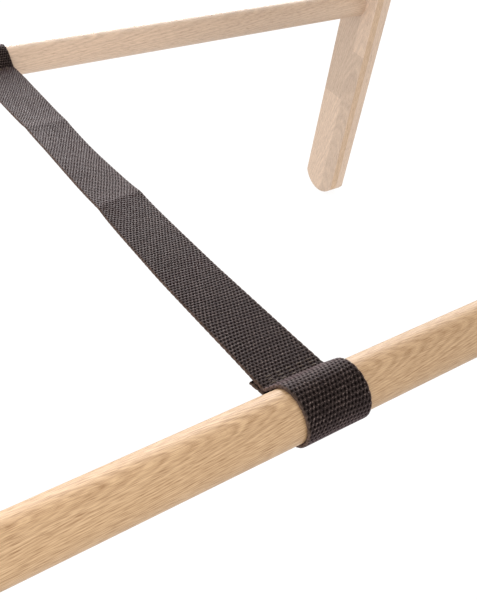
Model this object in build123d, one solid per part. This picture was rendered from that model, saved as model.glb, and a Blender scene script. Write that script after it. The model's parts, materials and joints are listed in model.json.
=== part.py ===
from build123d import *
import math
import os

# Folding luggage rack, in millimetres.
# X runs along the rails, Y from the near side to the far side, Z up.
# The origin is on the floor, under the middle of the rack.

# Stock sizes
RAIL_D = 22.0
STRAP_W = 30.0
STRAP_T = 1.5
LEG_T = 18.0
LEG_W = 44.0
BAR_T = 20.0
BAR_H = 90.0

# Stance
SPLAY_DEG = 9.0
STRETCHER_SPACING = 404.0
STRETCHER_Z = 213.0
PIVOT_Z = 390.0
FAR_LEG_INNER_X = 361.0
LEG_NEST_GAP = 8.0
LEG_SET_IN = 2.0

# Top frame
TOP_RAIL_SPACING = 370.0
TOP_RAIL_RISE = 50.0
BAR_END_MARGIN = 22.0
BAR_TOP_MARGIN = 16.0
BAR_CORNER_R = 18.0
LUGGAGE_STRAP_PITCH = 190.0
LUGGAGE_STRAP_COUNT = 4

# Foot of a leg: a round end with a worn flat
FOOT_R = 25.0
FOOT_FLAT_DEPTH = 0.4

# Joinery
TENON_D = 14.0
PEG_D = 5.0
EDGE_EASE = 1.0
END_EASE = 0.8

# Pivot hardware
BOLT_D = 8.0
BOLT_HEAD_D = 16.0
BOLT_HEAD_T = 3.0
HEX_KEY_AF = 5.0
HEX_KEY_DEPTH = 2.0
NUT_D = 14.0
NUT_T = 5.0
NUT_WALL = 1.2
WASHER_D = 20.0
WASHER_T = 1.6
SPACER_D = 20.0

# Sewn loop of a strap
LOOP_APEX = 15.0
SEWN_END = 24.0

# Fits
RUNNING_FIT = 0.05
GLUE_FIT = 0.05
STRAP_FIT = 0.15
SIDE_PLAY = 0.2
STRAP_JOIN_GAP = 0.2
CUT_OVERRUN = 1.0

# Worked out from the sizes above
SPLAY = math.radians(SPLAY_DEG)
STRETCHER_Y = STRETCHER_SPACING / 2
STRETCHER_DROP = (PIVOT_Z - STRETCHER_Z + LEG_SET_IN * math.sin(SPLAY)) / math.cos(SPLAY)
PIVOT_Y = STRETCHER_Y - LEG_SET_IN * math.cos(SPLAY) - STRETCHER_DROP * math.sin(SPLAY)
TOP_RAIL_Y = TOP_RAIL_SPACING / 2
TOP_RAIL_Z = PIVOT_Z + TOP_RAIL_RISE
FAR_LEG_OUTER_X = FAR_LEG_INNER_X + LEG_T
NEAR_LEG_OUTER_X = FAR_LEG_INNER_X - LEG_NEST_GAP
NEAR_LEG_INNER_X = NEAR_LEG_OUTER_X - LEG_T
BAR_INNER_X = FAR_LEG_OUTER_X + SIDE_PLAY + WASHER_T
BAR_OUTER_X = BAR_INNER_X + BAR_T
BAR_TOP_Z = TOP_RAIL_Z + BAR_TOP_MARGIN
BAR_LENGTH = TOP_RAIL_SPACING + 2 * BAR_END_MARGIN
BOLT_SINK = BOLT_HEAD_T + SIDE_PLAY
BOLT_BORE_D = BOLT_D + 2 * GLUE_FIT
FOOT_CENTRE_Z = FOOT_R - FOOT_FLAT_DEPTH
FOOT_DROP = (PIVOT_Z - FOOT_CENTRE_Z) / math.cos(SPLAY)

ENDS = {"left": -1, "right": 1}
FRAMES = {"near": -1, "far": 1}
LEG_INNER_X = {"near": NEAR_LEG_INNER_X, "far": FAR_LEG_INNER_X}
LEG_OUTER_X = {"near": NEAR_LEG_OUTER_X, "far": FAR_LEG_OUTER_X}


def x_cylinder(diameter, x_start, x_end, y, z):
    """A round bar along X between two stations."""
    length = abs(x_end - x_start)
    middle = (x_start + x_end) / 2
    return Pos(middle, y, z) * Rot(0, 90, 0) * Cylinder(diameter / 2, length)


def x_bore(diameter, x_start, x_end, y, z):
    """A cutter along X that runs past both stations."""
    return x_cylinder(diameter, x_start - CUT_OVERRUN, x_end + CUT_OVERRUN, y, z)


def peg(x, y, z_low, z_high, diameter):
    """An upright round peg."""
    return Pos(x, y, (z_low + z_high) / 2) * Cylinder(diameter / 2, z_high - z_low)


def rail_peg_places():
    """Where a peg locks a top rail in each end bar: x and y."""
    middle = (BAR_INNER_X + BAR_OUTER_X) / 2
    return [(end * middle, frame * TOP_RAIL_Y) for end in ENDS.values() for frame in FRAMES.values()]


def rail_pegs(clearance=0.0):
    """Pegs driven from the top edge of the end bars to the middle of the top rails."""
    diameter = PEG_D + 2 * clearance
    return [peg(x, y, TOP_RAIL_Z, BAR_TOP_Z, diameter) for x, y in rail_peg_places()]


def end_bar(end):
    """An end board: it holds both top rails and carries the two leg pivots of its end."""
    middle_x = (BAR_INNER_X + BAR_OUTER_X) / 2
    board = Pos(middle_x, 0, BAR_TOP_Z - BAR_H / 2) * Box(BAR_T, BAR_LENGTH, BAR_H)
    board = fillet(board.edges().filter_by(Axis.X), BAR_CORNER_R)
    board = fillet(board.faces().filter_by(Axis.X).edges(), EDGE_EASE)
    for side in FRAMES.values():
        rail_y = side * TOP_RAIL_Y
        bolt_y = side * PIVOT_Y
        sink_x = BAR_OUTER_X - BOLT_SINK
        sink_d = BOLT_HEAD_D + 2 * SIDE_PLAY
        board = board - x_bore(RAIL_D + 2 * GLUE_FIT, BAR_INNER_X, BAR_OUTER_X, rail_y, TOP_RAIL_Z)
        board = board - x_bore(BOLT_BORE_D, BAR_INNER_X, BAR_OUTER_X, bolt_y, PIVOT_Z)
        board = board - x_cylinder(sink_d, sink_x, BAR_OUTER_X + CUT_OVERRUN, bolt_y, PIVOT_Z)
    if end < 0:
        board = mirror(board, about=Plane.YZ)
    for hole in rail_pegs(GLUE_FIT):
        board = board - hole
    return board


def top_rail(side):
    """A round top rail, glued through both end bars."""
    rail = x_cylinder(RAIL_D, -BAR_OUTER_X, BAR_OUTER_X, side * TOP_RAIL_Y, TOP_RAIL_Z)
    rail = chamfer(rail.edges().filter_by(GeomType.CIRCLE), END_EASE)
    for hole in rail_pegs(GLUE_FIT):
        rail = rail - hole
    return rail


def on_leg(side, body):
    """Carry a shape from a leg's own frame, pivot at the origin and foot down, to its stance."""
    return Pos(0, side * PIVOT_Y, PIVOT_Z) * Rot(side * SPLAY_DEG, 0, 0) * body


def stretcher_peg(side, inner_x, clearance=0.0):
    """A peg driven from the outer edge of a leg through the tenon of its stretcher."""
    x = inner_x + math.copysign(LEG_T / 2, inner_x)
    shaft = Pos(x, side * LEG_W / 4, -STRETCHER_DROP) * Rot(90, 0, 0)
    return on_leg(side, shaft * Cylinder(PEG_D / 2 + clearance, LEG_W / 2))


def leg(frame, end):
    """A leg board: round head at the pivot, round foot with a flat where it stands."""
    side = FRAMES[frame]
    inner_x = end * LEG_INNER_X[frame]
    middle_x = inner_x + end * LEG_T / 2
    half = LEG_W / 2
    head = Circle(half)
    board = Pos(0, -FOOT_DROP / 2) * Rectangle(LEG_W, FOOT_DROP)
    toe = Pos(0, -FOOT_DROP) * Circle(FOOT_R)
    toe = toe & (Pos(0, -FOOT_DROP) * Rectangle(LEG_W, 2 * FOOT_R))
    profile = Plane.YZ * (head + board + toe)
    body = Pos(middle_x, 0, 0) * extrude(profile, amount=LEG_T / 2, both=True)
    body = fillet(body.faces().filter_by(Axis.X).edges(), EDGE_EASE)
    low_x = middle_x - LEG_T / 2
    high_x = middle_x + LEG_T / 2
    body = body - x_bore(BOLT_D + 2 * RUNNING_FIT, low_x, high_x, 0, 0)
    body = body - x_bore(TENON_D + 2 * GLUE_FIT, low_x, high_x, side * LEG_SET_IN, -STRETCHER_DROP)
    body = on_leg(side, body) - stretcher_peg(side, inner_x, GLUE_FIT)
    foot_y = side * (PIVOT_Y + FOOT_DROP * math.sin(SPLAY))
    below_floor = Pos(middle_x, foot_y, -FOOT_R) * Box(2 * LEG_T, 2 * LEG_W, 2 * FOOT_R)
    return body - below_floor


def stretcher(frame):
    """A round stretcher with a turned tenon at each end, pegged in its legs."""
    side = FRAMES[frame]
    inner_x = LEG_INNER_X[frame]
    outer_x = LEG_OUTER_X[frame]
    y = side * STRETCHER_Y
    rail = x_cylinder(RAIL_D, -inner_x, inner_x, y, STRETCHER_Z)
    tenons = x_cylinder(TENON_D, -outer_x, outer_x, y, STRETCHER_Z)
    body = rail + tenons
    for end in ENDS.values():
        body = body - stretcher_peg(side, end * inner_x, GLUE_FIT)
    return body


def tangent_drop(radius, apex):
    """A round with two tangents that meet at an apex on +X."""
    turn = math.acos(radius / apex)
    touch = (radius * math.cos(turn), radius * math.sin(turn))
    wedge = Polygon((apex, 0), touch, (touch[0], -touch[1]), align=None)
    return Circle(radius) + wedge


def strap_outline(reach, both_ends):
    """Side view of a strap that leaves a rail at the origin along +X and ends at reach."""
    inner_r = RAIL_D / 2 + STRAP_FIT
    outer_r = inner_r + STRAP_T
    outer_apex = LOOP_APEX * outer_r / inner_r
    hollow = tangent_drop(inner_r, LOOP_APEX)
    loop = tangent_drop(outer_r, outer_apex)
    seam = Pos((LOOP_APEX + SEWN_END) / 2, 0) * Rectangle(SEWN_END - LOOP_APEX, 2 * STRAP_T)
    ends = loop + seam - hollow
    span_end = reach - LOOP_APEX if both_ends else reach
    span = Pos((LOOP_APEX + span_end) / 2, STRAP_T / 2) * Rectangle(span_end - LOOP_APEX, STRAP_T)
    outline = ends + span
    if both_ends:
        outline = outline + Pos(reach, 0) * mirror(ends, about=Plane.YZ)
    return outline


def luggage_strap(index):
    """A webbing strap looped and sewn round both top rails."""
    x = (index - (LUGGAGE_STRAP_COUNT - 1) / 2) * LUGGAGE_STRAP_PITCH
    outline = Plane.YZ * strap_outline(TOP_RAIL_SPACING, True)
    return Pos(x, -TOP_RAIL_Y, TOP_RAIL_Z) * extrude(outline, amount=STRAP_W / 2, both=True)


def tie_strap_half(side):
    """Half of the webbing strap that ties the two stretchers, from its sewn loop to mid span."""
    reach = STRETCHER_Y - STRAP_JOIN_GAP / 2
    outline = Plane.YZ * strap_outline(reach, False)
    body = extrude(outline, amount=STRAP_W / 2, both=True)
    if side > 0:
        body = mirror(body, about=Plane.XZ)
    return Pos(0, side * STRETCHER_Y, STRETCHER_Z) * body


def pivot_bolt(frame, end):
    """A flat-headed bolt with a hexagon recess, sunk in the end bar."""
    y = FRAMES[frame] * PIVOT_Y
    seat_x = BAR_OUTER_X - BOLT_SINK
    tip_x = LEG_INNER_X[frame] - SIDE_PLAY - NUT_T + NUT_WALL
    head = x_cylinder(BOLT_HEAD_D, seat_x, seat_x + BOLT_HEAD_T, y, PIVOT_Z)
    shank = x_cylinder(BOLT_D, tip_x, seat_x, y, PIVOT_Z)
    key = extrude(RegularPolygon(HEX_KEY_AF / 2, 6, major_radius=False), amount=HEX_KEY_DEPTH)
    recess = Pos(seat_x + BOLT_HEAD_T, y, PIVOT_Z) * Rot(0, -90, 0) * key
    bolt = head + shank - recess
    return bolt if end > 0 else mirror(bolt, about=Plane.YZ)


def cap_nut(frame, end):
    """A round cap nut that closes a pivot bolt inside its leg."""
    y = FRAMES[frame] * PIVOT_Y
    seat_x = LEG_INNER_X[frame] - SIDE_PLAY
    cap = x_cylinder(NUT_D, seat_x - NUT_T, seat_x, y, PIVOT_Z)
    rim = cap.faces().sort_by(Axis.X)[0].edges()
    cap = fillet(rim, NUT_WALL)
    blind_x = seat_x - NUT_T + NUT_WALL
    cap = cap - x_cylinder(BOLT_BORE_D, blind_x, seat_x + CUT_OVERRUN, y, PIVOT_Z)
    return cap if end > 0 else mirror(cap, about=Plane.YZ)


def washer(frame, end):
    """A plain washer on the outer face of a leg head."""
    y = FRAMES[frame] * PIVOT_Y
    start_x = LEG_OUTER_X[frame] + SIDE_PLAY
    disc = x_cylinder(WASHER_D, start_x, start_x + WASHER_T, y, PIVOT_Z)
    disc = disc - x_bore(BOLT_BORE_D, start_x, start_x + WASHER_T, y, PIVOT_Z)
    return disc if end > 0 else mirror(disc, about=Plane.YZ)


def spacer(end):
    """A turned sleeve that keeps a near leg clear of the far leg beside it."""
    start_x = NEAR_LEG_OUTER_X + SIDE_PLAY + WASHER_T
    y = FRAMES["near"] * PIVOT_Y
    sleeve = x_cylinder(SPACER_D, start_x, BAR_INNER_X, y, PIVOT_Z)
    sleeve = sleeve - x_bore(BOLT_BORE_D, start_x, BAR_INNER_X, y, PIVOT_Z)
    return sleeve if end > 0 else mirror(sleeve, about=Plane.YZ)


def build():
    """Every node of the rack, by name."""
    nodes = {"rail_pegs": Compound(children=rail_pegs())}
    for end_name, end in ENDS.items():
        nodes[f"end_bar_{end_name}"] = end_bar(end)
        nodes[f"pivot_spacer_{end_name}"] = spacer(end)
    for frame, side in FRAMES.items():
        nodes[f"top_rail_{frame}"] = top_rail(side)
        nodes[f"stretcher_{frame}"] = stretcher(frame)
        nodes[f"tie_strap_{frame}"] = tie_strap_half(side)
        pegs = [stretcher_peg(side, end * LEG_INNER_X[frame]) for end in ENDS.values()]
        nodes[f"stretcher_pegs_{frame}"] = Compound(children=pegs)
        for end_name, end in ENDS.items():
            nodes[f"leg_{frame}_{end_name}"] = leg(frame, end)
            nodes[f"pivot_bolt_{frame}_{end_name}"] = pivot_bolt(frame, end)
            nodes[f"cap_nut_{frame}_{end_name}"] = cap_nut(frame, end)
            nodes[f"washer_{frame}_{end_name}"] = washer(frame, end)
    for index in range(LUGGAGE_STRAP_COUNT):
        nodes[f"luggage_strap_{index + 1}"] = luggage_strap(index)
    return nodes


os.makedirs("parts", exist_ok=True)
for node_name, shape in build().items():
    export_step(shape, f"parts/{node_name}.step")
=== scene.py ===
import json
import math

import bpy
import numpy as np
from bpy.props import FloatProperty, FloatVectorProperty, IntProperty, PointerProperty
from mathutils import Matrix, Vector

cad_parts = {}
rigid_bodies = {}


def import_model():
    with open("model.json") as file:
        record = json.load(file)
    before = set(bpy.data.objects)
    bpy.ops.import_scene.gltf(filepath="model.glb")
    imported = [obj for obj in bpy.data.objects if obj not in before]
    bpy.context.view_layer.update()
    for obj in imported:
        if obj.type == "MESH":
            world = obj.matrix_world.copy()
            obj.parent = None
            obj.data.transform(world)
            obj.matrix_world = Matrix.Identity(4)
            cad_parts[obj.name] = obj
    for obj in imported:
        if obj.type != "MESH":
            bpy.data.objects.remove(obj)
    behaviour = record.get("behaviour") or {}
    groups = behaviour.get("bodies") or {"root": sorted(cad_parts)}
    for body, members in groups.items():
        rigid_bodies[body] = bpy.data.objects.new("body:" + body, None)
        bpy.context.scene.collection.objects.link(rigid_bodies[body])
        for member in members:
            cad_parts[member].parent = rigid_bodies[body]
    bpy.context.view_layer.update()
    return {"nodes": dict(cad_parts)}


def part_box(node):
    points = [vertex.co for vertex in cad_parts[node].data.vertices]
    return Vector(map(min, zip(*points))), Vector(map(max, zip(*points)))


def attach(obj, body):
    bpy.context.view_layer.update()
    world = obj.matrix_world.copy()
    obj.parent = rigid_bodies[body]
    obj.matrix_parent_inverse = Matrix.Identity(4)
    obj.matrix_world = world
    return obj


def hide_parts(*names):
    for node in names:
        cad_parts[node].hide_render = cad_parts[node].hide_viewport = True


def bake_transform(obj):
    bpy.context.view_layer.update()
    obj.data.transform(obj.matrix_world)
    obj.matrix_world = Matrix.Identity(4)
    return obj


bl_info = {
    "name": "Folding luggage rack",
    "version": (1, 0, 0),
    "blender": (4, 5, 0),
    "location": "View3D > Sidebar > Rack",
    "description": "Dresses the packed luggage rack in oiled oak, woven webbing and zinc-plated steel",
    "category": "Object",
}

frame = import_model()

# Stance of the frame, as the part's source has it
SPLAY = math.radians(9.0)
FOOT = (0.22981, 0.0246)
SIDES = {"near": -1, "far": 1}
ENDS = ("left", "right")
LUGGAGE_STRAPS = [name for name in sorted(frame["nodes"]) if name.startswith("luggage_strap_")]
MM = 0.001
QUARTER = math.pi / 2

# Laminated legs: half their width, and the depths between which the tan layer lies
LEG_HALF_WIDTH = 22 * MM
TAN_LAYER = (0.5 * MM, 8.2 * MM)

# Shares in the height of the weave: floats that slant up to the right, those that slant back, and the ribs
SLANT_SHARE = 0.41
BACK_SHARE = 0.21
RIB_SHARE = 0.45

# Gaps between the yarns: the height of the weave where they start, how far below that they end, and their curve
GAP_START = -0.15
GAP_DROP = 0.92
GAP_CURVE = 1.2

# Rows of weft aren't straight: how far they bow and lean, and over what length of strap each comes and goes
BOW, BOW_LENGTH = 0.8 * MM, 11 * MM
LEAN, LEAN_LENGTH = 0.6 * MM, 7 * MM


def linear(hex_colour):
    """An sRGB hex value as linear red, green and blue."""
    parts = [int(hex_colour[i:i + 2], 16) / 255 for i in (1, 3, 5)]
    return tuple(c / 12.92 if c <= 0.04045 else ((c + 0.055) / 1.055) ** 2.4 for c in parts)


def colour(name, description, hex_value):
    """A colour setting whose default is an sRGB hex value."""
    return FloatVectorProperty(
        name=name, description=description, subtype="COLOR", size=3, min=0.0, max=1.0, default=linear(hex_value)
    )


def size(name, description, metres):
    """A length setting in metres."""
    return FloatProperty(name=name, description=description, unit="LENGTH", precision=5, default=metres)


class RackOak(bpy.types.PropertyGroup):
    """Colours and grain of the oak."""

    late: colour("Late wood", "Pale dense wood between the growth rings", "#C7A680")
    early: colour("Early wood", "Darker porous wood at the start of each ring", "#977450")
    pore: colour("Pores", "Open vessels, cut lengthwise by the plane", "#7D5B39")
    pale: colour("Pale stave", "Lightest staves of the laminated legs", "#CFBCAE")
    ring_pitch: size("Ring pitch", "Distance between growth rings", 0.85 * MM)
    ring_width: size("Ring width", "Width of a line of growth", 0.37 * MM)
    figure_length: size("Figure length", "Length over which a ring changes its tone", 34.0 * MM)
    band_length: size("Band length", "Length of a slow change of tone along the grain", 400.0 * MM)
    pore_length: size("Pore length", "Length of a cut vessel", 5.0 * MM)
    pore_width: size("Pore width", "Width of a cut vessel", 0.22 * MM)
    stave_width: size("Stave width", "Width of the strips that the legs are glued up from", 16.0 * MM)
    stave_length: size("Stave length", "Length of the strips that the legs are glued up from", 200.0 * MM)


class RackWebbing(bpy.types.PropertyGroup):
    """Sizes and colours of the straps."""

    width: size("Width", "Width of the webbing", 30.0 * MM)
    thickness: size("Thickness", "Thickness of the webbing", 1.5 * MM)
    warp_count: IntProperty(
        name="Warp count", description="Warp ends round the whole section, an even number", min=8, default=72
    )
    row_pitch: size("Row pitch", "Distance between rows of weft", 1.85 * MM)
    relief: size("Relief", "Depth of the gaps between the yarns", 0.6 * MM)
    rail_diameter: size("Rail diameter", "Diameter of the rails that the loops go round", 22.0 * MM)
    loop_fit: size("Loop fit", "Gap between a rail and its loop", 0.15 * MM)
    loop_apex: size("Loop apex", "Distance from a rail's axis to where its loop closes", 15.0 * MM)
    sewn_end: size("Sewn end", "Distance from a rail's axis to the cut end of the strap", 24.0 * MM)
    yarn: colour("Yarn", "Dark brown of the yarn", "#1E1816")
    # Painted highlight on the raised yarn, where it would catch the light
    crest_highlight: colour("Crest", "Highlighted brown where the yarn is raised", "#6E605A")
    gap: colour("Gap", "Shadowed gap between the yarns", "#040201")
    # Painted light on both edges: a warm painted reflection of the oak and a lift on the shaded edge faces
    selvedge_painted_light: colour("Selvedge", "Brightened yarn that closes both edges", "#55463D")
    stitch: colour("Sewing thread", "Brown sewing thread of the seams", "#5C4A3B")


class RackStage(bpy.types.PropertyGroup):
    """Camera and light."""

    place: FloatVectorProperty(
        name="Camera place", description="Where the camera stands", subtype="XYZ", size=3, unit="LENGTH",
        default=(-0.14484, -0.35086, 0.41253),
    )
    heading: FloatProperty(
        name="Heading", description="Turn of the camera from +Y towards +X", subtype="ANGLE",
        default=math.radians(34.666),
    )
    tilt: FloatProperty(
        name="Tilt", description="Tilt of the camera above the horizon", subtype="ANGLE",
        default=math.radians(-36.987),
    )
    roll: FloatProperty(
        name="Roll", description="Roll of the camera about its own line of sight", subtype="ANGLE",
        default=math.radians(2.478),
    )
    lens: FloatProperty(name="Lens", description="Focal length", subtype="DISTANCE_CAMERA", default=56.498)
    floor: colour("Floor", "White paper sweep", "#FFFFFF")


def node(tree, kind, inputs=None, **settings):
    """Add a node with its settings; each input is a value or a socket to link from."""
    made = tree.nodes.new(kind)
    for name, value in settings.items():
        setattr(made, name, value)
    for socket, value in (inputs or {}).items():
        if isinstance(value, bpy.types.NodeSocket):
            tree.links.new(value, made.inputs[socket])
        else:
            made.inputs[socket].default_value = value
    return made


def finish_node(name):
    """A new material with its node tree and its surface shader."""
    material = bpy.data.materials.new(name)
    material.use_nodes = True
    return material, material.node_tree, material.node_tree.nodes["Principled BSDF"]


def rgba(value):
    """A colour setting with full alpha."""
    return (*value, 1.0)


def wear(piece, material):
    """Give a piece one material all over."""
    piece.data.materials.clear()
    piece.data.materials.append(material)


# Finishes


def leg_staves(tree, wood, paleness):
    """Tone and paleness of a laminated leg: blocks of their own tone on its face, a tan layer and a pale core."""
    oak = bpy.context.scene.rack_oak
    spot = node(tree, "ShaderNodeSeparateXYZ", {"Vector": wood}).outputs
    beside = node(tree, "ShaderNodeMath", {0: spot["Y"], 1: LEG_HALF_WIDTH}).outputs[0]
    stave = node(tree, "ShaderNodeMath", {0: beside, 1: oak.stave_width}, operation="GREATER_THAN").outputs[0]
    shifted = node(tree, "ShaderNodeMath", {0: stave, 1: 0.27, 2: 0.27}, operation="MULTIPLY_ADD").outputs[0]
    along = node(
        tree, "ShaderNodeMath", {0: spot["X"], 1: 1 / oak.stave_length, 2: shifted}, operation="MULTIPLY_ADD"
    ).outputs[0]
    length = node(tree, "ShaderNodeMath", {0: along}, operation="FLOOR").outputs[0]
    block = node(tree, "ShaderNodeMath", {0: stave, 1: length}).outputs[0]
    turned = node(tree, "ShaderNodeMath", {0: block, 1: 2.0}, operation="FLOORED_MODULO").outputs[0]
    above = node(tree, "ShaderNodeMath", {0: spot["Z"], 1: TAN_LAYER[0]}, operation="GREATER_THAN").outputs[0]
    below = node(tree, "ShaderNodeMath", {0: spot["Z"], 1: TAN_LAYER[1]}, operation="LESS_THAN").outputs[0]
    tan = node(tree, "ShaderNodeMath", {0: below, 1: above}, operation="MULTIPLY").outputs[0]
    faced = node(tree, "ShaderNodeMath", {0: turned, 1: 0.15, 2: 0.967}, operation="MULTIPLY_ADD").outputs[0]
    tone = node(tree, "ShaderNodeMix", {0: below, 2: faced, 3: 1.04}).outputs[0]
    bleach = node(tree, "ShaderNodeMath", {0: tan, 1: -0.32, 2: paleness}, operation="MULTIPLY_ADD").outputs[0]
    return tone, bleach


def oiled_oak(
    name, turn, place, paleness, seed, pith=(0.008, -0.042), runout=(0.06, 0.08), growth=1.0, staves=False
):
    """Light European oak, planed or turned, with a satin oil.

    The eye gets growth rings that run out of the surface in long arches of fine lines, short dark pores along the
    grain, a slow drift of tone, and a pale sheen at low angles. Turn brings the grain to X and place centres the
    piece; pith is where the tree's heart lies beside it, runout how far the grain leans, growth widens the rings,
    and seed takes the piece from another part of the tree.
    """
    oak = bpy.context.scene.rack_oak
    material, tree, surface = finish_node(name)
    object_space = node(tree, "ShaderNodeTexCoord").outputs["Object"]
    wood = node(
        tree, "ShaderNodeMapping", {"Vector": object_space, "Rotation": turn, "Location": place}
    ).outputs["Vector"]
    moved = node(tree, "ShaderNodeVectorMath", {0: wood, 1: (seed * 0.61, seed * 0.07, seed * 0.05)}).outputs[0]
    axes = node(tree, "ShaderNodeSeparateXYZ", {"Vector": moved}).outputs

    # Growth rings round the pith, wandering along the grain
    drift = node(tree, "ShaderNodeMapping", {"Vector": moved, "Scale": (14.0, 40.0, 40.0)}).outputs["Vector"]
    wander = node(tree, "ShaderNodeTexNoise", {"Vector": drift, "Scale": 1.0, "Detail": 3.0}).outputs["Color"]
    sway = node(tree, "ShaderNodeVectorMath", {0: wander, 1: (0.0, 0.004, 0.004)}, operation="MULTIPLY").outputs[0]
    heart = node(
        tree, "ShaderNodeMapping",
        {"Vector": wood, "Rotation": (0.0, runout[1], runout[0]), "Location": (0.0, pith[0], pith[1])},
    ).outputs["Vector"]
    across = node(tree, "ShaderNodeVectorMath", {0: heart, 1: (0.0, 1.0, 1.0)}, operation="MULTIPLY").outputs[0]
    bent = node(tree, "ShaderNodeVectorMath", {0: across, 1: sway}).outputs[0]
    radius = node(tree, "ShaderNodeVectorMath", {0: bent}, operation="LENGTH").outputs["Value"]
    chart = node(tree, "ShaderNodeCombineXYZ", {"X": axes["X"], "Y": radius, "Z": seed * 0.01}).outputs[0]
    ring_scale = (1 / oak.figure_length, 1 / oak.ring_width / growth, 300.0)
    rings = node(tree, "ShaderNodeMapping", {"Vector": chart, "Scale": ring_scale}).outputs["Vector"]
    figure = node(
        tree, "ShaderNodeTexNoise", {"Vector": rings, "Scale": 1.0, "Detail": 3.0, "Roughness": 0.65}
    ).outputs["Fac"]

    # Lines of the rings themselves, wider apart in a good year
    uneven_scale = (0.6 / oak.figure_length, 0.5 / oak.ring_pitch / growth, 300.0)
    years = node(tree, "ShaderNodeMapping", {"Vector": chart, "Scale": uneven_scale}).outputs["Vector"]
    uneven = node(tree, "ShaderNodeTexNoise", {"Vector": years, "Scale": 1.0, "Detail": 1.0}).outputs["Fac"]
    jitter = node(tree, "ShaderNodeMath", {0: uneven, 1: 9.0}, operation="MULTIPLY").outputs[0]
    phase = node(
        tree, "ShaderNodeMath", {0: radius, 1: 2 * math.pi / oak.ring_pitch / growth, 2: jitter},
        operation="MULTIPLY_ADD",
    ).outputs[0]
    lines = node(tree, "ShaderNodeMath", {0: phase}, operation="SINE").outputs[0]

    # Pores, drawn a little wide so that they show at the photo's scale
    pore_scale = (1 / oak.pore_length, 1 / oak.pore_width, 1 / oak.pore_width)
    dashes = node(tree, "ShaderNodeMapping", {"Vector": moved, "Scale": pore_scale}).outputs["Vector"]
    vessels = node(
        tree, "ShaderNodeTexNoise", {"Vector": dashes, "Scale": 1.0, "Detail": 1.0, "Roughness": 0.6}
    ).outputs["Fac"]
    open_pore = node(
        tree, "ShaderNodeMapRange", {"Value": vessels, "From Min": 0.60, "From Max": 0.74},
        interpolation_type="SMOOTHSTEP",
    ).outputs["Result"]

    # Tone of the lines, and a slow band of tone along the piece
    lined = node(tree, "ShaderNodeMath", {0: lines, 1: 0.17, 2: -1.00}, operation="MULTIPLY_ADD").outputs[0]
    ringed = node(tree, "ShaderNodeMath", {0: figure, 1: 1.1, 2: lined}, operation="MULTIPLY_ADD").outputs[0]
    dark = node(
        tree, "ShaderNodeMath", {0: vessels, 1: 1.8, 2: ringed}, operation="MULTIPLY_ADD", use_clamp=True
    ).outputs[0]
    body = node(
        tree, "ShaderNodeMix", {0: dark, 6: rgba(oak.late), 7: rgba(oak.early)}, data_type="RGBA"
    ).outputs[2]
    turns = node(
        tree, "ShaderNodeMath", {0: axes["X"], 1: 2 * math.pi / oak.band_length}, operation="MULTIPLY"
    ).outputs[0]
    wave = node(tree, "ShaderNodeMath", {0: turns}, operation="SINE").outputs[0]
    swing = 0.03 if staves else 0.10
    light = node(tree, "ShaderNodeMath", {0: wave, 1: swing, 2: 1.0}, operation="MULTIPLY_ADD").outputs[0]

    # Pale wood keeps its lines
    veined = node(
        tree, "ShaderNodeMath", {0: dark, 1: -0.20 * paleness, 2: 1.0 + 0.09 * paleness}, operation="MULTIPLY_ADD"
    ).outputs[0]
    light = node(tree, "ShaderNodeMath", {0: light, 1: veined}, operation="MULTIPLY").outputs[0]
    bleach = paleness
    if staves:
        layer, bleach = leg_staves(tree, wood, paleness)
        light = node(tree, "ShaderNodeMath", {0: light, 1: layer}, operation="MULTIPLY").outputs[0]
    body = node(tree, "ShaderNodeMix", {0: bleach, 6: body, 7: rgba(oak.pale)}, data_type="RGBA").outputs[2]
    body = node(tree, "ShaderNodeVectorMath", {0: body, "Scale": light}, operation="SCALE").outputs[0]

    pored = node(tree, "ShaderNodeMath", {0: open_pore, 1: 0.5}, operation="MULTIPLY").outputs[0]
    final = node(tree, "ShaderNodeMix", {0: pored, 6: body, 7: rgba(oak.pore)}, data_type="RGBA").outputs[2]
    tree.links.new(final, surface.inputs["Base Color"])

    rough = node(
        tree, "ShaderNodeMapRange",
        {"Value": vessels, "From Min": 0.3, "From Max": 0.7, "To Min": 0.42, "To Max": 0.55},
    ).outputs["Result"]
    tree.links.new(rough, surface.inputs["Roughness"])
    bump = node(
        tree, "ShaderNodeBump", {"Height": vessels, "Strength": 0.25, "Distance": -0.1 * MM}
    ).outputs["Normal"]
    tree.links.new(bump, surface.inputs["Normal"])
    surface.inputs["IOR"].default_value = 1.5
    surface.inputs["Specular IOR Level"].default_value = 0.4
    return material


def clouded(name, cloud_size, detail, tints, roughness, strength, depth):
    """A finish whose tone, gloss and height follow one fine cloud."""
    material, tree, surface = finish_node(name)
    spot = node(tree, "ShaderNodeTexCoord").outputs["Object"]
    cloud = node(
        tree, "ShaderNodeTexNoise", {"Vector": spot, "Scale": 1 / cloud_size, "Detail": detail}
    ).outputs["Fac"]
    low, high = (rgba(linear(tint)) for tint in tints)
    tint = node(tree, "ShaderNodeMix", {0: cloud, 6: low, 7: high}, data_type="RGBA").outputs[2]
    rough = node(
        tree, "ShaderNodeMapRange", {"Value": cloud, "To Min": roughness[0], "To Max": roughness[1]}
    ).outputs["Result"]
    bump = node(tree, "ShaderNodeBump", {"Height": cloud, "Strength": strength, "Distance": depth}).outputs["Normal"]
    tree.links.new(tint, surface.inputs["Base Color"])
    tree.links.new(rough, surface.inputs["Roughness"])
    tree.links.new(bump, surface.inputs["Normal"])
    return material, surface


def zinc_steel():
    """Zinc-plated steel: a cool grey metal, faintly clouded, with a satin blur to its reflections."""
    material, surface = clouded(
        "zinc_plated_steel", 2.857 * MM, 3.0, ("#B9BBB8", "#D6D6D2"), (0.26, 0.44), 0.15, 0.02 * MM
    )
    surface.inputs["Metallic"].default_value = 1.0
    return material


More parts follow.
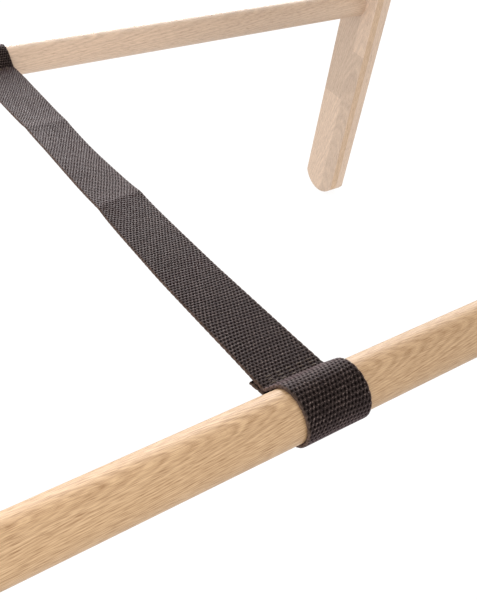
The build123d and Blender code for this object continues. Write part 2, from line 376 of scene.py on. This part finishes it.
def natural_nylon():
    """Moulded natural nylon: a milky off-white with a waxy, slightly pitted skin."""
    material, surface = clouded(
        "natural_nylon", 1.111 * MM, 2.0, ("#E4E0D4", "#F1EEE6"), (0.38, 0.52), 0.2, 0.03 * MM
    )
    surface.inputs["IOR"].default_value = 1.53
    return material


def woven_webbing():
    """Plain-woven spun webbing, dark brown-black.

    The eye gets ribs across the strap whose raised yarn carries a painted highlight, dark gaps between the yarns in
    offset rows, selvedges painted lighter and warmer as painted light (a painted reflection of the oak and a lift on
    their shaded edge faces), and a bloom of loose fibre where it is seen at a low angle. The strap's own map is in
    millimetres: u round the section, v along.
    """
    web = bpy.context.scene.rack_webbing
    material, tree, surface = finish_node("woven_webbing")
    chart = node(tree, "ShaderNodeUVMap", uv_map="weave").outputs["UV"]
    loose = node(tree, "ShaderNodeTexNoise", {"Vector": chart, "Scale": 0.45, "Detail": 2.0}).outputs["Color"]
    pull = node(tree, "ShaderNodeVectorMath", {0: loose, 1: (0.3, 0.4, 0.0)}, operation="MULTIPLY").outputs[0]
    centred = node(tree, "ShaderNodeVectorMath", {0: pull, 1: (0.15, 0.2, 0.0)}, operation="SUBTRACT").outputs[0]
    worked = node(tree, "ShaderNodeVectorMath", {0: chart, 1: centred}).outputs[0]
    axes = node(tree, "ShaderNodeSeparateXYZ", {"Vector": worked}).outputs
    warp_pitch = perimeter(web) / web.warp_count / MM
    row_pitch = web.row_pitch / MM
    turn_u = node(tree, "ShaderNodeMath", {0: axes["X"], 1: math.pi / warp_pitch}, operation="MULTIPLY").outputs[0]
    turn_v = node(tree, "ShaderNodeMath", {0: axes["Y"], 1: math.pi / row_pitch}, operation="MULTIPLY").outputs[0]
    rib_turn = node(tree, "ShaderNodeMath", {0: turn_v, 1: 2.0}, operation="MULTIPLY").outputs[0]
    ahead = node(tree, "ShaderNodeMath", {0: turn_u, 1: turn_v}, operation="SUBTRACT").outputs[0]
    back = node(tree, "ShaderNodeMath", {0: turn_u, 1: turn_v}).outputs[0]
    slanted = node(tree, "ShaderNodeMath", {0: ahead}, operation="COSINE").outputs[0]
    returned = node(tree, "ShaderNodeMath", {0: back}, operation="COSINE").outputs[0]
    rib = node(tree, "ShaderNodeMath", {0: rib_turn}, operation="COSINE").outputs[0]
    risen = node(tree, "ShaderNodeMath", {0: slanted, 1: SLANT_SHARE}, operation="MULTIPLY").outputs[0]
    floats = node(
        tree, "ShaderNodeMath", {0: returned, 1: -BACK_SHARE, 2: risen}, operation="MULTIPLY_ADD"
    ).outputs[0]
    weave = node(tree, "ShaderNodeMath", {0: rib, 1: RIB_SHARE, 2: floats}, operation="MULTIPLY_ADD").outputs[0]

    # Twist of the yarn, slanting across each float, and its hairiness
    slant = node(
        tree, "ShaderNodeVectorMath", {0: worked, 1: (9.0, 6.0, 0.0)}, operation="DOT_PRODUCT"
    ).outputs["Value"]
    ply = node(tree, "ShaderNodeMath", {0: slant}, operation="SINE").outputs[0]
    fuzz = node(tree, "ShaderNodeTexNoise", {"Vector": chart, "Scale": 1.3, "Detail": 2.0}).outputs["Fac"]
    twisted = node(tree, "ShaderNodeMath", {0: ply, 1: 0.25, 2: weave}, operation="MULTIPLY_ADD").outputs[0]
    frayed = node(tree, "ShaderNodeMath", {0: fuzz, 1: -0.5}).outputs[0]
    uneven = node(tree, "ShaderNodeMath", {0: frayed, 1: twisted}).outputs[0]
    net = node(
        tree, "ShaderNodeMapRange", {"Value": uneven, "From Min": -0.60, "From Max": -0.30},
        interpolation_type="SMOOTHSTEP",
    ).outputs["Result"]
    # Painted highlight: the raised yarn and its loose hairs are painted with the paler crest colour
    loft = node(tree, "ShaderNodeMath", {0: weave, 1: 0.55, 2: frayed}, operation="MULTIPLY_ADD").outputs[0]
    hairs = node(tree, "ShaderNodeTexNoise", {"Vector": chart, "Scale": 2.4, "Detail": 1.0}).outputs["Fac"]
    lifted = node(tree, "ShaderNodeMath", {0: hairs, 1: 1.8, 2: loft}, operation="MULTIPLY_ADD").outputs[0]
    highlight_mask = node(
        tree, "ShaderNodeMapRange", {"Value": lifted, "From Min": 1.12, "From Max": 1.65},
        interpolation_type="SMOOTHSTEP",
    ).outputs["Result"]
    cloth = node(
        tree, "ShaderNodeMix", {0: highlight_mask, 6: rgba(web.yarn), 7: rgba(web.crest_highlight)}, data_type="RGBA"
    ).outputs[2]

    # Selvedges, painted lighter and warmer as painted light: a painted reflection of the oak and a lift on their
    # shaded edge faces. The map's u is at a whole half turn at both edges
    half = perimeter(web) / 2 / MM
    folded = node(tree, "ShaderNodeMath", {0: axes["X"], 1: half}, operation="PINGPONG").outputs[0]
    inward = node(tree, "ShaderNodeMath", {0: half, 1: folded}, operation="SUBTRACT").outputs[0]
    nearest = node(tree, "ShaderNodeMath", {0: folded, 1: inward}, operation="MINIMUM").outputs[0]
    edge = node(
        tree, "ShaderNodeMapRange",
        {"Value": nearest, "From Min": 0.4, "From Max": 1.6, "To Min": 1.0, "To Max": 0.0},
    ).outputs["Result"]
    yarn = node(
        tree, "ShaderNodeMix", {0: edge, 6: cloth, 7: rgba(web.selvedge_painted_light)}, data_type="RGBA"
    ).outputs[2]
    dusty = node(tree, "ShaderNodeTexNoise", {"Vector": chart, "Scale": 0.10, "Detail": 3.0}).outputs["Fac"]
    patchy = node(
        tree, "ShaderNodeMapRange",
        {"Value": dusty, "From Min": 0.3, "From Max": 0.7, "To Min": 0.75, "To Max": 1.2},
    ).outputs["Result"]
    specks = node(tree, "ShaderNodeTexNoise", {"Vector": chart, "Scale": 0.7, "Detail": 1.0}).outputs["Fac"]
    flecked = node(
        tree, "ShaderNodeMapRange",
        {"Value": specks, "From Min": 0.3, "From Max": 0.7, "To Min": 0.6, "To Max": 1.4},
    ).outputs["Result"]
    tone = node(tree, "ShaderNodeMath", {0: patchy, 1: flecked}, operation="MULTIPLY").outputs[0]
    aged = node(tree, "ShaderNodeVectorMath", {0: yarn, "Scale": tone}, operation="SCALE").outputs[0]
    # Painted light: the gaps' shade is left off the selvedges, so their shaded edge faces stay light
    closed = node(tree, "ShaderNodeMath", {0: net, 1: edge}, operation="MAXIMUM").outputs[0]
    final = node(tree, "ShaderNodeMix", {0: closed, 6: rgba(web.gap), 7: aged}, data_type="RGBA").outputs[2]
    tree.links.new(final, surface.inputs["Base Color"])
    bump = node(
        tree, "ShaderNodeBump", {"Height": uneven, "Strength": 0.35, "Distance": 0.08 * MM}
    ).outputs["Normal"]
    tree.links.new(bump, surface.inputs["Normal"])
    rough = node(tree, "ShaderNodeMapRange", {"Value": net, "To Min": 0.95, "To Max": 0.48}).outputs["Result"]
    tree.links.new(rough, surface.inputs["Roughness"])
    surface.inputs["Specular IOR Level"].default_value = 0.06
    surface.inputs["Specular Tint"].default_value = rgba(linear("#FFE6E4"))
    surface.inputs["Sheen Weight"].default_value = 0.15
    surface.inputs["Sheen Roughness"].default_value = 0.42
    surface.inputs["Sheen Tint"].default_value = rgba(linear("#FFCBD4"))
    return material


def sewing_thread():
    """Spun sewing thread: a brown strand whose plies catch the light in slanting lines."""
    web = bpy.context.scene.rack_webbing
    material, tree, surface = finish_node("spun_sewing_thread")
    spot = node(tree, "ShaderNodeTexCoord").outputs["Object"]
    slant = node(
        tree, "ShaderNodeVectorMath", {0: spot, 1: (9000.0, 6000.0, 6000.0)}, operation="DOT_PRODUCT"
    ).outputs["Value"]
    ply = node(tree, "ShaderNodeMath", {0: slant}, operation="SINE").outputs[0]
    lit = node(tree, "ShaderNodeMapRange", {"Value": ply, "From Min": -1.0}).outputs["Result"]
    deep = tuple(0.45 * c for c in web.stitch)
    tint = node(tree, "ShaderNodeMix", {0: lit, 6: rgba(deep), 7: rgba(web.stitch)}, data_type="RGBA").outputs[2]
    tree.links.new(tint, surface.inputs["Base Color"])
    bump = node(tree, "ShaderNodeBump", {"Height": lit, "Strength": 0.5, "Distance": 0.06 * MM}).outputs["Normal"]
    tree.links.new(bump, surface.inputs["Normal"])
    surface.inputs["Roughness"].default_value = 0.7
    surface.inputs["Sheen Weight"].default_value = 0.2
    return material


# Straps


def perimeter(web):
    """Length round the webbing's section, whose edges are round."""
    return 2 * (web.width - web.thickness) + math.pi * web.thickness


def webbing_section(web):
    """Points round the section from the left edge over the top: across, up, and the outward normal of each."""
    count = 2 * web.warp_count
    half = perimeter(web) / 2
    r = web.thickness / 2
    arc = math.pi * r / 2
    points = []
    for j in range(count):
        p = 2 * half * j / count
        q, side = (p, 1) if p <= half else (2 * half - p, -1)
        if q < arc:
            out = (-math.cos(q / r), math.sin(q / r))
            place = (-web.width / 2 + r + r * out[0], r * out[1])
        elif q > half - arc:
            out = (math.cos((half - q) / r), math.sin((half - q) / r))
            place = (web.width / 2 - r + r * out[0], r * out[1])
        else:
            out = (0.0, 1.0)
            place = (-web.width / 2 + r + q - arc, r)
        points.append((place[0], side * place[1], out[0], side * out[1], p))
    return np.array(points)


def strap_line(web, spacing, row_steps, soften=0.9 * MM):
    """Middle line of a strap looped round two rails: v from mid span, y and z from between the rail axes."""
    inner = web.rail_diameter / 2 + web.loop_fit
    mid = inner + web.thickness / 2
    apex = web.loop_apex * mid / inner
    touch = math.acos(mid / apex)
    lift = web.thickness / 2
    crease = apex - lift / math.tan(math.asin(mid / apex))
    turns = np.linspace(2 * math.pi - touch, touch, 90)
    corners = [(web.sewn_end, -lift), (crease, -lift)]
    corners += [(mid * math.cos(a), mid * math.sin(a)) for a in turns]
    corners += [(crease, lift), (spacing / 2, lift)]
    half = np.array(corners)
    run = np.concatenate([[0.0], np.cumsum(np.hypot(*np.diff(half, axis=0).T))])
    fine = 0.1 * MM
    at = np.arange(0.0, run[-1], fine)
    s, h = (np.interp(at, run, half[:, k]) for k in (0, 1))
    kernel = np.exp(-0.5 * (np.arange(-40, 41) * fine / soften) ** 2)
    kernel /= kernel.sum()
    s, h = (np.convolve(np.pad(c, 40, mode="reflect", reflect_type="odd"), kernel, mode="valid") for c in (s, h))
    step = web.row_pitch / row_steps
    v = -np.arange(int(run[-1] / step), -1, -1) * step
    s, h = (np.interp(run[-1] + v, at, c) for c in (s, h))
    y = s - spacing / 2
    return np.concatenate([v, -v[-2::-1]]), np.concatenate([y, -y[-2::-1]]), np.concatenate([h, h[-2::-1]])


def eased(v, table, spread=7 * MM):
    """A value along the strap from a few stations, given in millimetres, with soft turns between them."""
    stations = np.array(table, float)
    around = np.linspace(-1.5, 1.5, 13) * spread
    weights = np.exp(-0.5 * (around / spread * 1.4) ** 2)
    found = sum(w * np.interp(v + d, stations[:, 0] * MM, stations[:, 1]) for w, d in zip(weights, around))
    return found / weights.sum()


def woven_strap(name, web, line, place, lateral, twist, rise, skew=0.0, keep=None):
    """A strap of real woven relief along a line, as a closed mesh with its map in millimetres.

    Lateral moves the middle line sideways, twist raises the left edge, rise gives the height of creases and sag,
    which lie across the strap at a skew, and keep picks one half.
    """
    v, y, z = line
    z = z + rise(v)
    step_y, step_z = np.gradient(y), np.gradient(z)
    run = np.hypot(step_y, step_z)
    along = np.stack([np.zeros_like(v), step_y / run, step_z / run], 1)
    up = np.stack([np.zeros_like(v), -along[:, 2], along[:, 1]], 1)
    right = np.tile([1.0, 0.0, 0.0], (len(v), 1))
    sine = np.clip(twist, -0.5, 0.5)[:, None]
    cosine = np.sqrt(1 - sine ** 2)
    right, up = cosine * right - sine * up, sine * right + cosine * up
    middle = np.stack([place[0] + lateral, place[1] + y, place[2] + z], 1)
    if keep is not None:
        v, middle, along, right, up = v[keep], middle[keep], along[keep], right[keep], up[keep]
    section = webbing_section(web)
    count = len(section)
    pitch = perimeter(web) / web.warp_count
    turn_u, turn_v = math.pi * section[None, :, 4] / pitch, math.pi * v[:, None] / web.row_pitch
    weave = SLANT_SHARE * np.cos(turn_u - turn_v) - BACK_SHARE * np.cos(turn_u + turn_v)
    weave = weave + RIB_SHARE * np.cos(2 * turn_v)
    float_height = -web.relief * np.clip((GAP_START - weave) / GAP_DROP, 0, 1) ** GAP_CURVE
    across = section[None, :, 0] / (web.width / 2)
    bow = BOW * np.sin(v[:, None] / BOW_LENGTH + 0.6) * across ** 2
    bow = bow + LEAN * np.sin(v[:, None] / LEAN_LENGTH) * across
    out = right[:, None] * section[None, :, 2, None] + up[:, None] * section[None, :, 3, None]
    skin = middle[:, None] + right[:, None] * section[None, :, 0, None] + up[:, None] * section[None, :, 1, None]
    skin = skin + out * float_height[:, :, None] + along[:, None] * bow[:, :, None]
    skin[:, :, 2] += rise(v[:, None] - skew * section[None, :, 0]) - rise(v)[:, None]
    skin = skin.reshape(-1, 3)

    i, j = np.meshgrid(np.arange(len(v) - 1), np.arange(count), indexing="ij")
    nxt = (j + 1) % count
    here, ahead = i * count, (i + 1) * count
    sides = np.stack([here + j, here + nxt, ahead + nxt, ahead + j], -1).reshape(-1, 4)
    faces = sides.tolist()
    last = (len(v) - 1) * count
    for base, turned in ((0, True), (last, False)):
        for k in range(count // 2):
            top, low = (k, k + 1), ((count - k - 1) % count, (count - k) % count)
            ring = [base + n for n in dict.fromkeys((*top, *low))]
            faces.append(ring[::-1] if turned else ring)
    mesh = bpy.data.meshes.new(name)
    mesh.from_pydata(skin.tolist(), [], faces)
    mesh.polygons.foreach_set("use_smooth", [k < len(sides) for k in range(len(faces))])
    chart = mesh.uv_layers.new(name="weave")
    corner = np.empty(len(mesh.loops), np.int32)
    mesh.loops.foreach_get("vertex_index", corner)
    u = section[corner % count, 4] / MM
    closing = np.zeros(len(corner), bool)
    wrap = np.tile([False, True, True, False], len(sides)) & np.repeat(nxt.reshape(-1) == 0, 4)
    closing[:len(wrap)] = wrap
    u[closing] = perimeter(web) / MM
    chart.data.foreach_set("uv", np.stack([u, v[corner // count] / MM], 1).astype(np.float32).ravel())
    mesh.validate()
    piece = bpy.data.objects.new(name, mesh)
    bpy.context.scene.collection.objects.link(piece)
    wear(piece, bpy.data.materials["woven_webbing"])
    return piece


class RACK_OT_dress_oak(bpy.types.Operator):
    """Give every wooden part its oak, with the grain along the part"""

    bl_idname = "rack.dress_oak"
    bl_label = "Dress oak parts"

    def execute(self, context):
        for k, side in enumerate(SIDES):
            for part, paleness in (("stretcher", (0.0, 0.5)[k]), ("top_rail", 0.1)):
                name = f"{part}_{side}"
                low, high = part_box(name)
                middle = (low + high) / 2
                finish = oiled_oak(
                    f"oiled_oak_{name}", (0, 0, 0), (0, -middle.y, -middle.z), paleness, k + 3, growth=(1.0, 2.4)[k]
                )
                wear(frame["nodes"][name], finish)
            for e, end in enumerate(ENDS):
                name = f"leg_{side}_{end}"
                low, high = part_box(name)
                lean = -SIDES[side] * SPLAY
                foot = Vector(((low.x + high.x) / 2, SIDES[side] * FOOT[0], FOOT[1]))
                turn = Matrix.Rotation(QUARTER, 3, "Y") @ Matrix.Rotation(lean, 3, "X")
                place = -(turn @ foot)
                finish = oiled_oak(
                    f"laminated_oak_{name}", (lean, QUARTER, 0), place, 0.6, 2 * k + e + 11, growth=1.8, staves=True
                )
                wear(frame["nodes"][name], finish)
            finish = oiled_oak(f"oiled_oak_stretcher_pegs_{side}", (0, 0, QUARTER), (0, 0, 0), 0.0, 31 + k)
            wear(frame["nodes"][f"stretcher_pegs_{side}"], finish)
        for e, (end, side) in enumerate(zip(ENDS, SIDES)):
            name = f"end_bar_{end}"
            low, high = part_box(name)
            middle = (low + high) / 2
            finish = oiled_oak(f"oiled_oak_{name}", (0, 0, -QUARTER), (0, middle.x, -middle.z), 0.18, 21 + e)
            wear(frame["nodes"][name], finish)
            wear(frame["nodes"][f"pivot_spacer_{end}"], bpy.data.materials[f"oiled_oak_top_rail_{side}"])
        wear(frame["nodes"]["rail_pegs"], oiled_oak("oiled_oak_rail_pegs", (0, QUARTER, 0), (0, 0, 0), 0.0, 41))
        return {"FINISHED"}


class RACK_OT_dress_pivots(bpy.types.Operator):
    """Give the bolts and nuts their zinc and the washers their nylon"""

    bl_idname = "rack.dress_pivots"
    bl_label = "Dress pivots"

    def execute(self, context):
        steel, nylon = zinc_steel(), natural_nylon()
        for name, part in frame["nodes"].items():
            if name.startswith(("pivot_bolt", "cap_nut")):
                wear(part, steel)
            if name.startswith("washer"):
                wear(part, nylon)
        return {"FINISHED"}


class RACK_OT_weave_luggage_straps(bpy.types.Operator):
    """Weave the straps across the top rails, each a little slack in its own way"""

    bl_idname = "rack.weave_luggage_straps"
    bl_label = "Weave luggage straps"

    def execute(self, context):
        web = context.scene.rack_webbing
        near, far = (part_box(f"top_rail_{side}") for side in SIDES)
        spacing = (far[0].y + far[1].y - near[0].y - near[1].y) / 2
        axis_z = (near[0].z + near[1].z) / 2
        line = strap_line(web, spacing, 2)
        v = line[0]
        for k, name in enumerate(LUGGAGE_STRAPS):
            low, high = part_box(name)
            skew = (0.5, -0.7, 0.4, -0.3)[k % 4]
            lateral = eased(v, [(-200, -skew), (-90, 0.3 * skew), (60, -0.4 * skew), (200, skew)]) * MM
            twist = eased(v, [(-165, 0), (-60, 0.03 * skew), (80, -0.04 * skew), (165, 0)])
            sag = 2.2 + 0.5 * skew

            def hang(at, depth=sag * MM, hip=spacing / 2 - web.sewn_end):
                return -depth * np.clip(1 - (at / hip) ** 2, 0, 1) ** 1.5

            place = ((low.x + high.x) / 2, 0, axis_z)
            piece = woven_strap(f"{name}_webbing", web, line, place, lateral, twist, hang)
            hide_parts(name)
            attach(piece, "top_frame")
        return {"FINISHED"}


class RACK_OT_weave_tie_strap(bpy.types.Operator):
    """Weave the strap between the stretchers in two halves that meet at mid span"""

    bl_idname = "rack.weave_tie_strap"
    bl_label = "Weave tie strap"

    def execute(self, context):
        web = context.scene.rack_webbing
        near, far = (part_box(f"stretcher_{side}") for side in SIDES)
        spacing = (far[0].y + far[1].y - near[0].y - near[1].y) / 2
        axis_z = (near[0].z + near[1].z) / 2
        line = strap_line(web, spacing, 4)
        v = line[0]
        # Stations along the strap in mm, with its drift sideways, its twist and its two packing creases
        drift = [(-276, -5.3), (-262, -3.0), (-225, -2.4), (-190, -3.2), (-104, -3.4), (-32, -1.7), (40, -0.3),
                 (76, 0.6), (160, 3.3), (190, 3.6), (276, 3.8)]
        turn = [(-186, 0.0), (-164, 0.03), (-104, 0.06), (-32, 0.12), (40, 0.216), (76, 0.167), (160, 0.03),
                (186, 0.0)]
        lateral = eased(v, drift) * MM
        twist = eased(v, turn)
        hip = spacing / 2 - web.sewn_end

        def creases(at):
            ridges = 0.0
            for middle, height, reach in ((-29, 1.6, 11), (78, 1.3, 13)):
                away = np.sqrt((at / MM - middle) ** 2 + 1.2 ** 2)
                ridges = ridges + height * np.exp(-away / reach)
            return ridges * MM * np.clip((hip - np.abs(at)) / (20 * MM), 0, 1)

        for side, sign in SIDES.items():
            keep = v <= 0 if sign < 0 else v >= 0
            name = f"tie_strap_{side}"
            piece = woven_strap(f"{name}_webbing", web, line, (0, 0, axis_z), lateral, twist, creases, 0.33, keep)
            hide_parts(name)
            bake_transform(piece)
        return {"FINISHED"}


class RACK_OT_sew_seams(bpy.types.Operator):
    """Sew three rows of stitches through the doubled end of every strap"""

    bl_idname = "rack.sew_seams"
    bl_label = "Sew seams"

    rows = 3
    row_gap = 1.9 * MM
    stitch_count = 5
    stitch_pitch = 4.9 * MM
    stitch_length = 4.3 * MM
    thread_radius = 0.24 * MM
    sunk = 0.42 * MM
    seam_place = 18.6 * MM
    tie_drift = {"near": -1.9 * MM, "far": 3.6 * MM}

    def stitch_field(self):
        """One seam's stitches: a bent strand, arrayed along the row and across the rows."""
        bpy.ops.object.select_all(action="DESELECT")
        bpy.ops.mesh.primitive_cylinder_add(
            vertices=8, radius=self.thread_radius, depth=self.stitch_length, end_fill_type="TRIFAN",
            rotation=(0, QUARTER, 0),
        )
        strand = bpy.context.active_object
        bpy.ops.object.transform_apply(location=True, rotation=True, scale=True)
        bpy.ops.object.mode_set(mode="EDIT")
        for share in (-0.3, 0.0, 0.3):
            bpy.ops.mesh.select_all(action="SELECT")
            bpy.ops.mesh.bisect(plane_co=(share * self.stitch_length, 0, 0), plane_no=(1, 0, 0))
        bpy.ops.object.mode_set(mode="OBJECT")
        for vertex in strand.data.vertices:
            vertex.select = abs(vertex.co.x) > 0.45 * self.stitch_length
        bpy.ops.object.mode_set(mode="EDIT")
        bpy.ops.mesh.select_mode(type="VERT")
        bpy.ops.transform.resize(value=(1.0, 0.6, 0.6))
        bpy.ops.transform.translate(value=(0, 0, -self.sunk))
        bpy.ops.object.mode_set(mode="OBJECT")
        for count, offset in (
            (self.stitch_count, (self.stitch_pitch, 0, 0)), (self.rows, (0, self.row_gap, 0)),
        ):
            array = strand.modifiers.new("row", "ARRAY")
            array.count = count
            array.use_relative_offset = False
            array.use_constant_offset = True
            array.constant_offset_displace = offset
            bpy.ops.object.modifier_apply(modifier=array.name)
        bpy.ops.object.shade_smooth()
        width = (self.stitch_count - 1) * self.stitch_pitch
        depth = (self.rows - 1) * self.row_gap
        strand.data.transform(Matrix.Translation((-width / 2, -depth / 2, 0)))
        return strand

    def sew(self, field, name, body, seams):
        """Copy the field to both faces of each seam and join the copies."""
        web = bpy.context.scene.rack_webbing
        bpy.ops.object.select_all(action="DESELECT")
        for place in seams:
            for face in (1, -1):
                copy = bpy.data.objects.new(name, field.data.copy())
                bpy.context.scene.collection.objects.link(copy)
                turn = Matrix.Identity(4) if face > 0 else Matrix.Rotation(math.pi, 4, "Y")
                copy.data.transform(Matrix.Translation(Vector(place) + Vector((0, 0, face * web.thickness))) @ turn)
                copy.select_set(True)
                bpy.context.view_layer.objects.active = copy
        bpy.ops.object.join()
        piece = bpy.context.active_object
        piece.name = name
        wear(piece, bpy.data.materials["spun_sewing_thread"])
        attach(piece, body)

    def seam(self, x, rail, side):
        """Where the middle of a seam lies: inwards from its rail."""
        low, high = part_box(f"{rail}_{side}")
        axis = (low + high) / 2
        return (x, axis.y - SIDES[side] * self.seam_place, axis.z)

    def execute(self, context):
        field = self.stitch_field()
        for name in LUGGAGE_STRAPS:
            low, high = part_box(name)
            seams = [self.seam((low.x + high.x) / 2, "top_rail", side) for side in SIDES]
            self.sew(field, f"{name}_stitching", "top_frame", seams)
        for side, drift in self.tie_drift.items():
            seams = [self.seam(drift, "stretcher", side)]
            self.sew(field, f"tie_strap_{side}_stitching", f"{side}_leg_frame", seams)
        bpy.data.objects.remove(field)
        return {"FINISHED"}


class RACK_OT_declare_straps(bpy.types.Operator):
    """Read the map of each strap along its length"""

    bl_idname = "rack.declare_straps"
    bl_label = "Declare straps"

    def execute(self, context):
        web = context.scene.rack_webbing
        for name in LUGGAGE_STRAPS:
            self.declare(name, ["top_rail_near", "top_rail_far"], web)
        for side in SIDES:
            self.declare(f"tie_strap_{side}", [f"stretcher_{side}"], web)
        return {"FINISHED"}

    def declare(self, name, rails, web):
        """Read the strap's map, whose run along the strap is its cut length."""
        piece = bpy.data.objects[f"{name}_webbing"]
        chart = piece.data.uv_layers["weave"].data
        run = np.empty(2 * len(chart), np.float32)
        chart.foreach_get("uv", run)


class RACK_OT_set_stage(bpy.types.Operator):
    """Lay the white paper, set the soft light and place the camera"""

    bl_idname = "rack.set_stage"
    bl_label = "Set stage"

    def lit_paper(self, piece, name, shade, strength):
        """Make a piece white paper that gives off its own even light, so that it stays white in the picture."""
        piece.name = name
        material, _, surface = finish_node(f"white_{name}")
        surface.inputs["Base Color"].default_value = (shade, shade, shade, 1.0)
        surface.inputs["Roughness"].default_value = 0.9
        surface.inputs["Specular IOR Level"].default_value = 0.0
        surface.inputs["Emission Color"].default_value = rgba(bpy.context.scene.rack_stage.floor)
        surface.inputs["Emission Strength"].default_value = strength
        wear(piece, material)

    def lay_paper(self):
        """A sweep on the floor, and a wall all round that only the eye sees, so that it keeps no light away."""
        bpy.ops.mesh.primitive_plane_add(size=40.0, location=(0, 0, -0.0005))
        floor = bpy.context.active_object
        self.lit_paper(floor, "paper_sweep", 0.10, 0.92)
        bpy.ops.mesh.primitive_cylinder_add(radius=19.0, depth=60.0, end_fill_type="NOTHING")
        wall = bpy.context.active_object
        self.lit_paper(wall, "paper_wall", 0.0, 1.0)
        wall.visible_diffuse = wall.visible_glossy = wall.visible_transmission = wall.visible_shadow = False

    def light_room(self):
        """A soft room, brighter over the camera's left shoulder, with a strong low glow behind and a softbox."""
        world = bpy.data.worlds.new("soft_room")
        world.use_nodes = True
        tree = world.node_tree
        way = node(tree, "ShaderNodeTexCoord").outputs["Generated"]
        key = Vector((-0.45, -0.70, 0.50)).normalized()
        facing = node(tree, "ShaderNodeVectorMath", {0: way, 1: key}, operation="DOT_PRODUCT").outputs["Value"]
        fill = node(
            tree, "ShaderNodeMapRange", {"Value": facing, "From Min": -1.0, "To Min": 0.80, "To Max": 1.27}
        ).outputs["Result"]
        back = Vector((0.40, 0.90, 0.08)).normalized()
        behind = node(tree, "ShaderNodeVectorMath", {0: way, 1: back}, operation="DOT_PRODUCT").outputs["Value"]
        sweep = node(
            tree, "ShaderNodeMapRange", {"Value": behind, "From Min": 0.73, "To Max": 8.0},
            interpolation_type="SMOOTHSTEP",
        ).outputs["Result"]
        glow = node(tree, "ShaderNodeMath", {0: fill, 1: sweep}).outputs[0]
        tree.links.new(glow, tree.nodes["Background"].inputs["Strength"])
        tree.nodes["Background"].inputs["Color"].default_value = (1.0, 1.0, 1.0, 1.0)
        bpy.context.scene.world = world

        lamp = bpy.data.lights.new("overhead_softbox", "AREA")
        lamp.shape = "RECTANGLE"
        lamp.size, lamp.size_y = 2.4, 1.6
        lamp.energy = 14.0
        softbox = bpy.data.objects.new("overhead_softbox", lamp)
        softbox.location = (-1.3, -1.1, 2.2)
        softbox.rotation_euler = (Vector((0, 0, 0.2)) - softbox.location).to_track_quat("-Z", "Y").to_euler()
        bpy.context.scene.collection.objects.link(softbox)

    def place_camera(self):
        """The camera that was fitted to the photograph's straight edges."""
        stage = bpy.context.scene.rack_stage
        lens = bpy.data.cameras.new("photo_camera")
        lens.sensor_fit = "HORIZONTAL"
        lens.sensor_width = 36.0
        lens.lens = stage.lens
        lens.clip_start = 0.01
        camera = bpy.data.objects.new("photo_camera", lens)
        turn = (
            Matrix.Rotation(-stage.heading, 4, "Z")
            @ Matrix.Rotation(QUARTER + stage.tilt, 4, "X")
            @ Matrix.Rotation(stage.roll, 4, "Z")
        )
        camera.matrix_world = Matrix.Translation(stage.place) @ turn
        bpy.context.scene.collection.objects.link(camera)
        bpy.context.scene.camera = camera

    def execute(self, context):
        bpy.ops.object.select_all(action="DESELECT")
        self.lay_paper()
        self.light_room()
        self.place_camera()
        context.scene.view_settings.view_transform = "Standard"
        return {"FINISHED"}


class RACK_PT_panel(bpy.types.Panel):
    """The rack's settings and steps"""

    bl_idname = "RACK_PT_panel"
    bl_label = "Luggage rack"
    bl_space_type = "VIEW_3D"
    bl_region_type = "UI"
    bl_category = "Rack"

    def draw(self, context):
        for group in ("rack_oak", "rack_webbing", "rack_stage"):
            settings = getattr(context.scene, group)
            box = self.layout.box()
            for name in settings.bl_rna.properties.keys():
                if name not in ("rna_type", "name"):
                    box.prop(settings, name)
        for step in STEPS:
            self.layout.operator(step.bl_idname)


GROUPS = {"rack_oak": RackOak, "rack_webbing": RackWebbing, "rack_stage": RackStage}
STEPS = (
    RACK_OT_dress_oak,
    RACK_OT_dress_pivots,
    RACK_OT_weave_luggage_straps,
    RACK_OT_weave_tie_strap,
    RACK_OT_sew_seams,
    RACK_OT_declare_straps,
    RACK_OT_set_stage,
)


def register():
    for name, group in GROUPS.items():
        bpy.utils.register_class(group)
        setattr(bpy.types.Scene, name, PointerProperty(type=group))
    for step in STEPS:
        bpy.utils.register_class(step)
    bpy.utils.register_class(RACK_PT_panel)


def unregister():
    bpy.utils.unregister_class(RACK_PT_panel)
    for step in reversed(STEPS):
        bpy.utils.unregister_class(step)
    for name, group in GROUPS.items():
        delattr(bpy.types.Scene, name)
        bpy.utils.unregister_class(group)


def main():
    register()
    woven_webbing()
    sewing_thread()
    bpy.ops.rack.dress_oak()
    bpy.ops.rack.dress_pivots()
    bpy.ops.rack.weave_luggage_straps()
    bpy.ops.rack.weave_tie_strap()
    bpy.ops.rack.sew_seams()
    bpy.ops.rack.declare_straps()
    bpy.ops.rack.set_stage()


if __name__ == "__main__":
    main()
